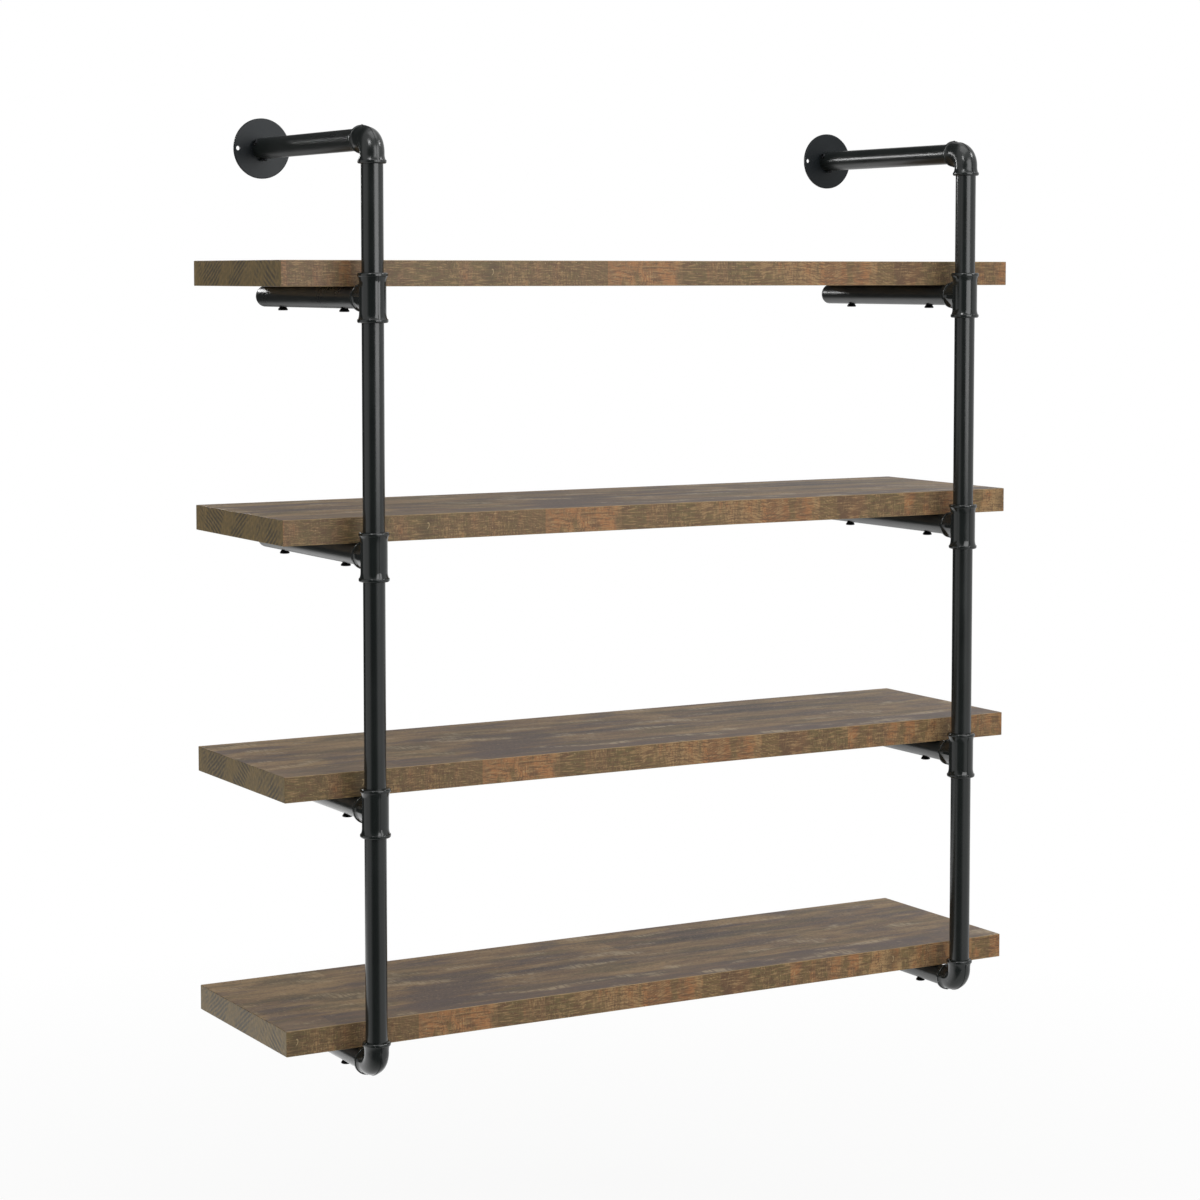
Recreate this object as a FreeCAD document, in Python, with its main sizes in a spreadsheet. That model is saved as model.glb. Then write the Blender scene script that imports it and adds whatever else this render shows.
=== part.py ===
# Wall shelf: four boards carried by two black pipe ladders that hang from round wall plates.
# Lengths are in millimetres and angles in degrees.
# X runs to the viewer's right, Y runs into the wall and Z runs up.
# The origin is on the wall, midway between the two wall plates, at the height of their centres.

import FreeCAD, Part
import math
import os

import Sketcher

BOARD_COUNT = 4
SIDES = {"left": -1, "right": 1}
FLANGE_SCREW_COUNT = 3
FIRST_SCREW_ANGLE = -90
HEXAGON_SIDES = 6
FULL_TURN = 360
QUARTER_TURN = 90

# How near two places must be to count as one
MATCH = 0.01

SIZES = {
    # Boards
    "board_length": 1016.0,
    "board_depth": 259.0,
    "board_thickness": 30.0,
    "board_edge_round": 0.8,
    "board_pitch": 293.0,
    "board_wall_gap": 15.0,
    "top_board_drop": 136.0,
    # Pipes: the posts stand in front of the boards, the arms lie under them
    "pipe_diameter": 25.4,
    "pipe_wall": 1.5,
    "post_inset": 95.0,
    "post_standoff": 39.2,
    "arm_rear_reach": 6.0,
    # Cast fittings: a collar ends each leg, and a cove leads from the leg's body up to the collar
    "socket_clearance": 0.1,
    "shoulder_width": 1.5,
    "passage_step": 1.2,
    "tee_run_wall": 2.7,
    "tee_branch_wall": 1.5,
    "tee_crotch_round": 2.0,
    "elbow_wall": 1.4,
    "elbow_inner_bend": 1.8,
    "leg_straight": 12.3,
    "collar_height": 4.4,
    "collar_overhang": 2.2,
    "collar_step": 1.0,
    "collar_round": 2.0,
    "cove_length": 6.5,
    "cove_radius": 18.2,
    "seam_width": 1.4,
    "seam_height": 0.5,
    # Wall plates, each with a stub that the wall pipe slides over
    "plate_diameter": 73.0,
    "plate_thickness": 3.0,
    "plate_edge_round": 0.8,
    "wall_hole_diameter": 5.5,
    "wall_hole_inset": 5.3,
    "stub_length": 14.0,
    "stub_wall": 2.0,
    "stub_clearance": 0.15,
    # Small screws that lock the wall pipe to the stub
    "flange_screw_setback": 6.0,
    "flange_screw_diameter": 4.0,
    "flange_screw_hole_gap": 0.15,
    "flange_screw_length": 6.0,
    "flange_screw_head_diameter": 7.5,
    "flange_screw_head_back": 7.5,
    "flange_screw_head_height": 2.4,
    "flange_screw_head_round": 1.2,
    "flange_screw_key": 2.5,
    "flange_screw_key_depth": 1.4,
    # Shelf bolts, which come up through the arms into threaded inserts
    "front_bolt_inset": 37.0,
    "bottom_front_bolt_inset": 44.5,
    "rear_bolt_inset": 47.0,
    "bolt_diameter": 6.0,
    "bolt_hole_gap": 0.3,
    "bolt_end_gap": 2.0,
    "bolt_head_diameter": 12.0,
    "bolt_head_back": 8.5,
    "bolt_head_height": 4.0,
    "bolt_head_round": 1.2,
    "bolt_key": 4.0,
    "bolt_key_depth": 2.4,
    "insert_wall": 0.95,
    "insert_length": 12.0,
    "insert_recess": 1.0,
    "insert_clearance": 0.05,
    "thread_clearance": 0.05,
    # Plastic plugs in the rear ends of the arms
    "plug_cap_thickness": 2.0,
    "plug_cap_round": 0.8,
    "plug_stem_length": 9.0,
    "plug_stem_wall": 1.6,
    "plug_clearance": 0.1,
    # How far a cutter runs past the face that it opens
    "cut_overrun": 1.0,
}


class Size:
    """A length known both as a number and as the sheet expression that gives it."""

    def __init__(self, value, text):
        self.value = value
        self.text = text

    def __add__(self, other):
        return Size(self.value + other.value, f"({self.text} + {other.text})")

    def __sub__(self, other):
        return Size(self.value - other.value, f"({self.text} - {other.text})")

    def __neg__(self):
        return Size(-self.value, f"(-1 * {self.text})")

    def __mul__(self, factor):
        return Size(self.value * factor, f"({self.text} * {factor})")

    def __truediv__(self, divisor):
        return Size(self.value / divisor, f"({self.text} / {divisor})")


ZERO = Size(0.0, "0")


def size(alias):
    """The named size, bound to its cell in the sheet."""
    return Size(SIZES[alias], f"sizes.{alias}")


# Sizes and places that several pieces share, worked out from the named ones
PIPE_RADIUS = size("pipe_diameter") / 2
PIPE_BORE_RADIUS = PIPE_RADIUS - size("pipe_wall")
SOCKET_RADIUS = PIPE_RADIUS + size("socket_clearance")
PASSAGE_RADIUS = PIPE_BORE_RADIUS - size("passage_step")
SHOULDER = SOCKET_RADIUS + size("shoulder_width")
TEE_RUN_RADIUS = SOCKET_RADIUS + size("tee_run_wall")
TEE_BRANCH_RADIUS = SOCKET_RADIUS + size("tee_branch_wall")
ELBOW_RADIUS = SOCKET_RADIUS + size("elbow_wall")
ELBOW_BEND = ELBOW_RADIUS + size("elbow_inner_bend")
LEG_FACE = ELBOW_BEND + size("leg_straight")
STUB_RADIUS = PIPE_BORE_RADIUS - size("stub_clearance")
INSERT_BORE_RADIUS = size("bolt_diameter") / 2 + size("thread_clearance")
INSERT_RADIUS = INSERT_BORE_RADIUS + size("insert_wall")
INSERT_HOLE_DEPTH = size("insert_length") + size("insert_recess")
BOARD_BACK = -size("board_wall_gap")
BOARD_FRONT = BOARD_BACK - size("board_depth")
POST_Y = BOARD_FRONT - size("post_standoff")
ARM_END_Y = BOARD_BACK + size("arm_rear_reach")
PLATE_FACE = -size("plate_thickness")


def board_top(number):
    """Height of a board's top face, counting from 1 at the top."""
    return -size("top_board_drop") - size("board_pitch") * (number - 1)


def arm_height(number):
    """Height of the axis of the arm that a board lies on."""
    return board_top(number) - size("board_thickness") - PIPE_RADIUS


def post_x(side):
    """Place of a side's post across the shelf."""
    return (size("board_length") / 2 - size("post_inset")) * SIDES[side]


def bolt_places(number):
    """How far in front of the wall a board's two rows of bolts stand."""
    inset = size("bottom_front_bolt_inset" if number == BOARD_COUNT else "front_bolt_inset")
    return BOARD_FRONT + inset, BOARD_BACK - size("rear_bolt_inset")


doc = FreeCAD.newDocument("wall_shelf")


def make_sheet():
    """Write the named sizes into a sheet, one row each, with the alias on the number."""
    sheet = doc.addObject("Spreadsheet::Sheet", "sizes")
    for row, (alias, value) in enumerate(SIZES.items(), start=1):
        sheet.set(f"A{row}", alias)
        sheet.set(f"B{row}", str(value))
        sheet.setAlias(f"B{row}", alias)
    doc.recompute()


def new_body(label):
    """An empty body, named for its piece."""
    body = doc.addObject("PartDesign::Body", label)
    body.Label = label
    return body


patterns = {}


def copy_of(make, label):
    """A body that repeats a pattern piece, drawn by its maker the first time that it is asked for."""
    if make not in patterns:
        patterns[make] = make(f"{make.__name__}_pattern")
    body = new_body(label)
    body.BaseFeature = patterns[make]
    return body


def new_sketch(body, purpose, plane, offset=None):
    """An empty sketch on one of the body's origin planes, moved along its normal by an offset."""
    sketch = body.newObject("Sketcher::SketchObject", f"{body.Name}_{purpose}")
    support = next(item for item in body.Origin.OriginFeatures if item.Role == plane)
    sketch.AttachmentSupport = [(support, "")]
    sketch.MapMode = "FlatFace"
    if offset is not None:
        sketch.setExpression("AttachmentOffset.Base.z", offset.text)
    return sketch


def pin_point(sketch, edge, end, corner):
    """Hold one end of an edge at a corner given as two sizes from the sketch's origin."""
    for kind, place in zip(("DistanceX", "DistanceY"), corner):
        index = sketch.addConstraint(Sketcher.Constraint(kind, -1, 1, edge, end, place.value))
        sketch.setExpression(f"Constraints[{index}]", place.text)


def arc_between(start, finish, radius):
    """An arc from start to finish that turns left for a positive radius and right for a negative one."""
    chord = finish - start
    across = FreeCAD.Vector(-chord.y, chord.x, 0).normalize()
    rise = math.sqrt(radius ** 2 - (chord.Length / 2) ** 2)
    centre = start + chord / 2 + across * math.copysign(rise, radius)
    spoke_a = start - centre
    spoke_b = finish - centre
    angle_a = math.atan2(spoke_a.y, spoke_a.x)
    angle_b = math.atan2(spoke_b.y, spoke_b.x)
    circle = Part.Circle(centre, FreeCAD.Vector(0, 0, 1), abs(radius))
    if radius > 0:
        return Part.ArcOfCircle(circle, angle_a, angle_b)
    return Part.ArcOfCircle(circle, angle_b, angle_a)


def draw_path(sketch, corners, arcs=None, closed=True):
    """Draw straight runs and arcs through the corners.

    A corner is a pair of sizes. arcs gives, for the corner that an arc leaves, the arc's radius and
    its hand: 1 when it turns left and -1 when it turns right.
    """
    arcs = arcs or {}
    points = [FreeCAD.Vector(first.value, second.value, 0) for first, second in corners]
    count = len(corners) if closed else len(corners) - 1
    ends = []
    for number in range(count):
        start = points[number]
        finish = points[(number + 1) % len(points)]
        if number in arcs:
            radius, hand = arcs[number]
            edge = sketch.addGeometry(arc_between(start, finish, radius.value * hand), False)
            index = sketch.addConstraint(Sketcher.Constraint("Radius", edge, radius.value))
            sketch.setExpression(f"Constraints[{index}]", radius.text)
            ends.append((edge, 1, 2) if hand > 0 else (edge, 2, 1))
        else:
            edge = sketch.addGeometry(Part.LineSegment(start, finish), False)
            ends.append((edge, 1, 2))
    for number, (edge, first, last) in enumerate(ends):
        pin_point(sketch, edge, first, corners[number])
        if closed or number + 1 < len(ends):
            following = ends[(number + 1) % len(ends)]
            sketch.addConstraint(Sketcher.Constraint("Coincident", edge, last, following[0], following[1]))
        else:
            pin_point(sketch, edge, last, corners[number + 1])


def draw_circle(sketch, centre, radius):
    """Draw a circle with its centre at a pair of sizes."""
    place = FreeCAD.Vector(centre[0].value, centre[1].value, 0)
    edge = sketch.addGeometry(Part.Circle(place, FreeCAD.Vector(0, 0, 1), radius.value), False)
    pin_point(sketch, edge, 3, centre)
    index = sketch.addConstraint(Sketcher.Constraint("Radius", edge, radius.value))
    sketch.setExpression(f"Constraints[{index}]", radius.text)


def extrude(body, kind, sketch, length, reverse=False, symmetric=False):
    """Pad or pocket a sketch by a bound length."""
    feature = body.newObject(f"PartDesign::{kind}", f"{sketch.Name}_{kind.lower()}")
    feature.Profile = sketch
    feature.Reversed = reverse
    if symmetric:
        feature.SideType = "Symmetric"
    feature.setExpression("Length", length.text)
    return feature


def turn(body, kind, sketch, axis):
    """Revolve or groove a sketch right round one of its own axes."""
    feature = body.newObject(f"PartDesign::{kind}", f"{sketch.Name}_{kind.lower()}")
    feature.Profile = sketch
    feature.ReferenceAxis = (sketch, [axis])
    feature.Angle = FULL_TURN
    return feature


def copies_round(body, feature, role, count):
    """Repeat a feature evenly about one of the body's origin axes."""
    pattern = body.newObject("PartDesign::PolarPattern", f"{feature.Name}_round")
    pattern.Originals = [feature]
    axis = next(item for item in body.Origin.OriginFeatures if item.Role == role)
    pattern.Axis = (axis, [""])
    pattern.Angle = FULL_TURN
    pattern.Occurrences = count
    body.Tip = pattern
    return pattern


def round_edges(body, base, edges, radius):
    """Fillet the named edges of a feature."""
    fillet = body.newObject("PartDesign::Fillet", f"{base.Name}_round")
    fillet.Base = (base, edges)
    fillet.setExpression("Radius", radius.text)
    return fillet


def place(piece, x=ZERO, y=ZERO, z=ZERO, rotation=None):
    """Put a piece at bound distances from the origin, turned as given."""
    base = FreeCAD.Vector(x.value, y.value, z.value)
    piece.Placement = FreeCAD.Placement(base, rotation or FreeCAD.Rotation())
    for axis, distance in zip("xyz", (x, y, z)):
        piece.setExpression(f".Placement.Base.{axis}", distance.text)
    return piece


def about_x(angle):
    """A turn about the X axis."""
    return FreeCAD.Rotation(FreeCAD.Vector(1, 0, 0), angle)


def about_y(angle):
    """A turn about the Y axis."""
    return FreeCAD.Rotation(FreeCAD.Vector(0, 1, 0), angle)


# Boards and their inserts


def shelf_board(number):
    """A board with its top face at Z 0 and the wall at Y 0, drilled from below for its inserts."""
    body = new_body(f"shelf_board_{number}")
    half = size("board_length") / 2
    outline = new_sketch(body, "outline", "XY_Plane")
    draw_path(outline, [(-half, BOARD_FRONT), (half, BOARD_FRONT), (half, BOARD_BACK), (-half, BOARD_BACK)])
    slab = extrude(body, "Pad", outline, size("board_thickness"), reverse=True)
    doc.recompute()
    edges = [f"Edge{index}" for index in range(1, len(slab.Shape.Edges) + 1)]
    round_edges(body, slab, edges, size("board_edge_round"))
    holes = new_sketch(body, "insert_holes", "XY_Plane", -size("board_thickness"))
    for side in SIDES:
        for y in bolt_places(number):
            draw_circle(holes, (post_x(side), y), INSERT_RADIUS + size("insert_clearance"))
    extrude(body, "Pocket", holes, INSERT_HOLE_DEPTH, reverse=True)
    return place(body, z=board_top(number))


def turned_piece(label, corners, arcs=None):
    """A body turned about its own Z axis from corners given as radius and height."""
    body = new_body(label)
    profile = new_sketch(body, "profile", "XZ_Plane")
    draw_path(profile, corners, arcs)
    turn(body, "Revolution", profile, "V_Axis")
    return body


def threaded_insert(label):
    """A sleeve that stands on its lower end, with the bolt's thread drawn as a plain bore."""
    length = size("insert_length")
    corners = [
        (INSERT_BORE_RADIUS, ZERO),
        (INSERT_RADIUS, ZERO),
        (INSERT_RADIUS, length),
        (INSERT_BORE_RADIUS, length),
    ]
    return turned_piece(label, corners)


def board_inserts(number):
    """The four inserts of a board, each pressed to the top of its hole."""
    foot = board_top(number) - size("board_thickness") + size("insert_recess")
    pieces = []
    for side in SIDES:
        for index, y in enumerate(bolt_places(number), start=1):
            insert = copy_of(threaded_insert, f"{side}_insert_{number}_{index}")
            pieces.append(place(insert, post_x(side), y, foot))
    return group(f"board_inserts_{number}", pieces)


def group(label, pieces):
    """Several like pieces under one label, still separate solids."""
    compound = doc.addObject("Part::Compound", label)
    compound.Label = label
    compound.Links = pieces
    return compound


# Screws and bolts


def headed_screw(label, kind, length):
    """A screw that points up: its head hangs below Z 0, tapers to its back and has a hexagon recess."""
    shank = size(f"{kind}_diameter") / 2
    head = size(f"{kind}_head_diameter") / 2
    foot = -size(f"{kind}_head_height")
    rim = size(f"{kind}_head_round")
    corners = [
        (ZERO, foot),
        (head - rim, foot),
        (head, foot + rim),
        (size(f"{kind}_head_back") / 2, ZERO),
        (shank, ZERO),
        (shank, length),
        (ZERO, length),
    ]
    body = turned_piece(label, corners, {1: (rim, 1)})
    recess = new_sketch(body, "recess", "XY_Plane", foot)
    reach = size(f"{kind}_key") / (2 * math.cos(math.pi / HEXAGON_SIDES))
    angles = [2 * math.pi * index / HEXAGON_SIDES for index in range(HEXAGON_SIDES)]
    draw_path(recess, [(reach * math.cos(angle), reach * math.sin(angle)) for angle in angles])
    extrude(body, "Pocket", recess, size(f"{kind}_key_depth"), reverse=True)
    return body


def shelf_bolt(label):
    """The bolt that comes up through an arm and stops short of the end of its insert's hole."""
    return headed_screw(label, "bolt", size("pipe_diameter") + INSERT_HOLE_DEPTH - size("bolt_end_gap"))


def shelf_bolts(side, number):
    """The two bolts that come up through an arm into its board."""
    pieces = []
    for index, y in enumerate(bolt_places(number), start=1):
        bolt = copy_of(shelf_bolt, f"{side}_bolt_{number}_{index}")
        pieces.append(place(bolt, post_x(side), y, arm_height(number) - PIPE_RADIUS))
    return group(f"{side}_shelf_bolts_{number}", pieces)


def flange_screw(label):
    """A small screw that goes through the wall pipe into the stub."""
    return headed_screw(label, "flange_screw", size("flange_screw_length"))


def flange_screws(side):
    """The screws set evenly round the wall pipe, which hold it on the wall plate's stub."""
    pieces = []
    y = PLATE_FACE - size("flange_screw_setback")
    for index in range(FLANGE_SCREW_COUNT):
        angle = FIRST_SCREW_ANGLE + FULL_TURN * index / FLANGE_SCREW_COUNT
        x = post_x(side) + PIPE_RADIUS * math.cos(math.radians(angle))
        z = PIPE_RADIUS * math.sin(math.radians(angle))
        screw = copy_of(flange_screw, f"{side}_flange_screw_{index + 1}")
        pieces.append(place(screw, x, y, z, about_y(-QUARTER_TURN - angle)))
    return group(f"{side}_flange_screws", pieces)


# Pipes


def pipe(label, length):
    """A round pipe that stands on Z 0."""
    body = new_body(label)
    section = new_sketch(body, "section", "XY_Plane")
    draw_circle(section, (ZERO, ZERO), PIPE_RADIUS)
    draw_circle(section, (ZERO, ZERO), PIPE_BORE_RADIUS)
    extrude(body, "Pad", section, length)
    return body


def screw_hole_radius():
    """Radius of the holes that take the small screws."""
    return size("flange_screw_diameter") / 2 + size("flange_screw_hole_gap")


def wall_pipe(side):
    """The short level pipe from the wall plate to the top elbow, drilled for the locking screws."""
    body = pipe(f"{side}_wall_pipe", PLATE_FACE - POST_Y - SHOULDER)
    hole = new_sketch(body, "screw_hole", "XZ_Plane")
    draw_circle(hole, (ZERO, size("flange_screw_setback")), screw_hole_radius())
    cut = extrude(body, "Pocket", hole, PIPE_RADIUS + size("cut_overrun"), reverse=True)
    copies_round(body, cut, "Z_Axis", FLANGE_SCREW_COUNT)
    return place(body, post_x(side), PLATE_FACE, ZERO, about_x(QUARTER_TURN))


def upright(side, number):
    """The stretch of post above a board's fitting, from the fitting above it or from the top elbow."""
    bottom = arm_height(number) + SHOULDER
    top = (ZERO if number == 1 else arm_height(number - 1)) - SHOULDER
    return place(pipe(f"{side}_upright_{number}", top - bottom), post_x(side), POST_Y, bottom)


def shelf_arm(side, number):
    """The level pipe under a board, drilled right through for its two bolts."""
    start = POST_Y + SHOULDER
    body = pipe(f"{side}_shelf_arm_{number}", ARM_END_Y - size("plug_cap_thickness") - start)
    holes = new_sketch(body, "bolt_holes", "XZ_Plane")
    for y in bolt_places(number):
        draw_circle(holes, (ZERO, y - start), size("bolt_diameter") / 2 + size("bolt_hole_gap"))
    extrude(body, "Pocket", holes, (PIPE_RADIUS + size("cut_overrun")) * 2, symmetric=True)
    return place(body, post_x(side), start, arm_height(number), about_x(-QUARTER_TURN))


def end_plug(label):
    """A cap with a hollow stem, standing on the cap's outer face."""
    cap = size("plug_cap_thickness")
    rim = size("plug_cap_round")
    stem = PIPE_BORE_RADIUS - size("plug_clearance")
    hollow = stem - size("plug_stem_wall")
    top = cap + size("plug_stem_length")
    corners = [
        (ZERO, ZERO),
        (PIPE_RADIUS - rim, ZERO),
        (PIPE_RADIUS, rim),
        (PIPE_RADIUS, cap),
        (stem, cap),
        (stem, top),
        (hollow, top),
        (hollow, cap),
        (ZERO, cap),
    ]
    return turned_piece(label, corners, {1: (rim, 1)})


def arm_plug(side, number):
    """The plug that closes the rear end of an arm."""
    plug = copy_of(end_plug, f"{side}_arm_plug_{number}")
    return place(plug, post_x(side), ARM_END_Y, arm_height(number), about_x(QUARTER_TURN))


# Wall plates


def wall_plate(label):
    """The round plate, its stub and their holes, turned about the Y axis from the wall at Y 0."""
    body = new_body(label)
    edge = size("plate_diameter") / 2
    rim = size("plate_edge_round")
    tip = PLATE_FACE - size("stub_length")
    hollow = STUB_RADIUS - size("stub_wall")
    profile = new_sketch(body, "profile", "YZ_Plane")
    corners = [
        (ZERO, ZERO),
        (ZERO, edge),
        (PLATE_FACE + rim, edge),
        (PLATE_FACE, edge - rim),
        (PLATE_FACE, STUB_RADIUS),
        (tip, STUB_RADIUS),
        (tip, hollow),
        (PLATE_FACE, hollow),
        (PLATE_FACE, ZERO),
    ]
    draw_path(profile, corners, {2: (rim, 1)})
    turn(body, "Revolution", profile, "H_Axis")
    wall_holes = new_sketch(body, "wall_holes", "XZ_Plane")
    for hand in SIDES.values():
        centre = ((edge - size("wall_hole_inset")) * hand, ZERO)
        draw_circle(wall_holes, centre, size("wall_hole_diameter") / 2)
    extrude(body, "Pocket", wall_holes, (size("plate_thickness") + size("cut_overrun")) * 2, symmetric=True)
    screw_hole = new_sketch(body, "screw_hole", "XY_Plane")
    draw_circle(screw_hole, (ZERO, PLATE_FACE - size("flange_screw_setback")), screw_hole_radius())
    cut = extrude(body, "Pocket", screw_hole, STUB_RADIUS + size("cut_overrun"))
    copies_round(body, cut, "Y_Axis", FLANGE_SCREW_COUNT)
    return body


def wall_flange(side):
    """A side's plate on the wall."""
    return place(copy_of(wall_plate, f"{side}_wall_flange"), post_x(side))


# Cast fittings, drawn on the plane that holds the axes of all their legs


def upward(along, radius):
    """A point of the leg that points up."""
    return radius, along


def downward(along, radius):
    """A point of the leg that points down."""
    return radius, -along


def backward(along, radius):
    """A point of the leg that points to the wall."""
    return along, radius


LEG_AXES = {upward: "V_Axis", downward: "V_Axis", backward: "H_Axis"}
# Which way a leg's rounded corners turn, from its root to its face: 1 to the left and -1 to the right
LEG_HANDS = {upward: 1, downward: -1, backward: -1}
# How many points of an edge are looked at to find out where it lies
EDGE_SAMPLES = 5


def add_leg(body, point, radius, root=None):
    """Turn the collar of a leg and the cove that leads up to it, and from a root the leg's body too."""
    step = size("collar_step")
    rim = size("collar_round")
    crest = radius + size("collar_overhang")
    neck = LEG_FACE - size("collar_height")
    cove = neck - size("cove_length")
    start = [point(cove, ZERO)] if root is None else [point(root, ZERO), point(root, radius)]
    corners = start + [
        point(cove, radius),
        point(neck, crest - step),
        point(neck + step, crest),
        point(LEG_FACE - rim, crest),
        point(LEG_FACE, crest - rim),
        point(LEG_FACE, ZERO),
    ]
    hand = LEG_HANDS[point]
    first = len(start)
    arcs = {first: (size("cove_radius"), -hand), first + 1: (step, hand), first + 3: (rim, hand)}
    profile = new_sketch(body, f"{point.__name__}_leg", "YZ_Plane")
    draw_path(profile, corners, arcs)
    return turn(body, "Revolution", profile, LEG_AXES[point])


def cut_bore(body, point, root=None):
    """Bore the socket that a pipe's end seats in and, from a root inside it, the leg's passage too."""
    open_end = LEG_FACE + size("cut_overrun")
    start = [point(SHOULDER, ZERO)]
    if root is not None:
        start = [point(root, ZERO), point(root, PASSAGE_RADIUS), point(SHOULDER, PASSAGE_RADIUS)]
    corners = start + [
        point(SHOULDER, SOCKET_RADIUS),
        point(open_end, SOCKET_RADIUS),
        point(open_end, ZERO),
    ]
    profile = new_sketch(body, f"{point.__name__}_bore", "YZ_Plane")
    draw_path(profile, corners)
    return turn(body, "Groove", profile, LEG_AXES[point])


def seam_side(radius):
    """One side of a leg's seam, from its cove to its collar, as distance along the leg and radius."""
    rise = size("seam_height")
    step = size("collar_step")
    crest = radius + size("collar_overhang") + rise
    neck = LEG_FACE - size("collar_height")
    return [
        (neck - size("cove_length"), radius + rise),
        (neck, crest - step),
        (neck + step, crest),
        (LEG_FACE - size("collar_round"), crest),
    ]


def add_seam(body, corners, arcs=None):
    """The raised line left where the two halves of the mould met, as a thin plate through the casting."""
    plate = new_sketch(body, "seam", "YZ_Plane")
    draw_path(plate, corners, arcs)
    return extrude(body, "Pad", plate, size("seam_width"), symmetric=True)


def crotch_edges(shape):
    """The edges where a tee's branch meets its run."""
    names = []
    for index, edge in enumerate(shape.Edges, start=1):
        points = edge.discretize(Number=EDGE_SAMPLES)
        on_run = all(abs(math.hypot(p.x, p.y) - TEE_RUN_RADIUS.value) < MATCH for p in points)
        on_branch = all(abs(math.hypot(p.x, p.z) - TEE_BRANCH_RADIUS.value) < MATCH for p in points)
        if on_run and on_branch:
            names.append(f"Edge{index}")
    return names


def tee_casting(label):
    """A tee with a run up and down and a branch to the wall, and a small round where they meet."""
    body = new_body(label)
    add_leg(body, upward, TEE_RUN_RADIUS, ZERO)
    add_leg(body, downward, TEE_RUN_RADIUS, ZERO)
    branch = add_leg(body, backward, TEE_BRANCH_RADIUS, ZERO)
    doc.recompute()
    round_edges(body, branch, crotch_edges(branch.Shape), size("tee_crotch_round"))
    run_side = seam_side(TEE_RUN_RADIUS)
    branch_side = seam_side(TEE_BRANCH_RADIUS)
    corner_y = TEE_RUN_RADIUS + size("seam_height")
    corner_z = TEE_BRANCH_RADIUS + size("seam_height")
    corners = [(-radius, along) for along, radius in run_side]
    corners += [(radius, along) for along, radius in run_side[::-1]]
    corners += [(corner_y, corner_z)]
    corners += [(along, radius) for along, radius in branch_side]
    corners += [(along, -radius) for along, radius in branch_side[::-1]]
    corners += [(corner_y, -corner_z)]
    corners += [(radius, -along) for along, radius in run_side]
    corners += [(-radius, -along) for along, radius in run_side[::-1]]
    add_seam(body, corners)
    for point in LEG_AXES:
        cut_bore(body, point, ZERO)
    return body


def pipe_tee(side, number):
    """The tee that joins two stretches of post to an arm."""
    return place(copy_of(tee_casting, f"{side}_tee_{number}"), post_x(side), POST_Y, arm_height(number))


def sweep(body, kind, route, purpose, radius):
    """Carry a circle along a route that starts at the mouth of the leg that points down."""
    section = new_sketch(body, purpose, "XY_Plane", -LEG_FACE)
    draw_circle(section, (ZERO, ZERO), radius)
    feature = body.newObject(f"PartDesign::{kind}", f"{section.Name}_sweep")
    feature.Profile = section
    feature.Spine = (route, [""])
    return feature


def elbow_casting(label):
    """An elbow whose legs point down and to the wall."""
    body = new_body(label)
    route = new_sketch(body, "route", "YZ_Plane")
    turns = [(ZERO, -LEG_FACE), (ZERO, -ELBOW_BEND), (ELBOW_BEND, ZERO), (LEG_FACE, ZERO)]
    draw_path(route, turns, {1: (ELBOW_BEND, -1)}, closed=False)
    sweep(body, "AdditivePipe", route, "skin", ELBOW_RADIUS)
    add_leg(body, downward, ELBOW_RADIUS)
    add_leg(body, backward, ELBOW_RADIUS)
    side = seam_side(ELBOW_RADIUS)
    reach = ELBOW_RADIUS + size("seam_height")
    corners = [(radius, -along) for along, radius in side]
    corners += [(-radius, -along) for along, radius in side[::-1]]
    corners += [(-reach, -ELBOW_BEND), (ELBOW_BEND, reach)]
    corners += [(along, radius) for along, radius in side]
    corners += [(along, -radius) for along, radius in side[::-1]]
    corners += [(reach, -reach)]
    add_seam(body, corners, {2 * len(side): (ELBOW_BEND + reach, -1)})
    sweep(body, "SubtractivePipe", route, "passage", PASSAGE_RADIUS)
    cut_bore(body, downward)
    cut_bore(body, backward)
    return body


def top_elbow(side):
    """The elbow that turns a post back to the wall."""
    return place(copy_of(elbow_casting, f"{side}_top_elbow"), post_x(side), POST_Y)


def bottom_elbow(side):
    """The elbow that turns a post into its lowest arm."""
    elbow = copy_of(elbow_casting, f"{side}_bottom_elbow")
    return place(elbow, post_x(side), POST_Y, arm_height(BOARD_COUNT), about_x(QUARTER_TURN))


# The whole shelf


def build_side(side):
    """One pipe ladder with its wall plate and fasteners."""
    nodes = [wall_flange(side), flange_screws(side), wall_pipe(side), top_elbow(side), bottom_elbow(side)]
    for number in range(1, BOARD_COUNT + 1):
        nodes += [upright(side, number), shelf_arm(side, number)]
        nodes += [arm_plug(side, number), shelf_bolts(side, number)]
    nodes += [pipe_tee(side, number) for number in range(1, BOARD_COUNT)]
    return nodes


def build_shelf():
    """Every node of the shelf."""
    nodes = []
    for number in range(1, BOARD_COUNT + 1):
        nodes += [shelf_board(number), board_inserts(number)]
    for side in SIDES:
        nodes += build_side(side)
    return nodes


def check(nodes):
    """Stop if an object failed or a node's shape is missing or broken."""
    for item in doc.Objects:
        if "Invalid" in item.State or "Error" in item.State:
            raise RuntimeError(f"{item.Label} failed: {item.State}")
    for node in nodes:
        if node.Shape.isNull() or not node.Shape.isValid() or not node.Shape.Solids:
            raise RuntimeError(f"{node.Label} has no sound shape")


def write_parts(nodes):
    """Write each node's solids to its own file."""
    os.makedirs("parts", exist_ok=True)
    for node in nodes:
        node.Shape.exportStep(f"parts/{node.Label}.step")


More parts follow.
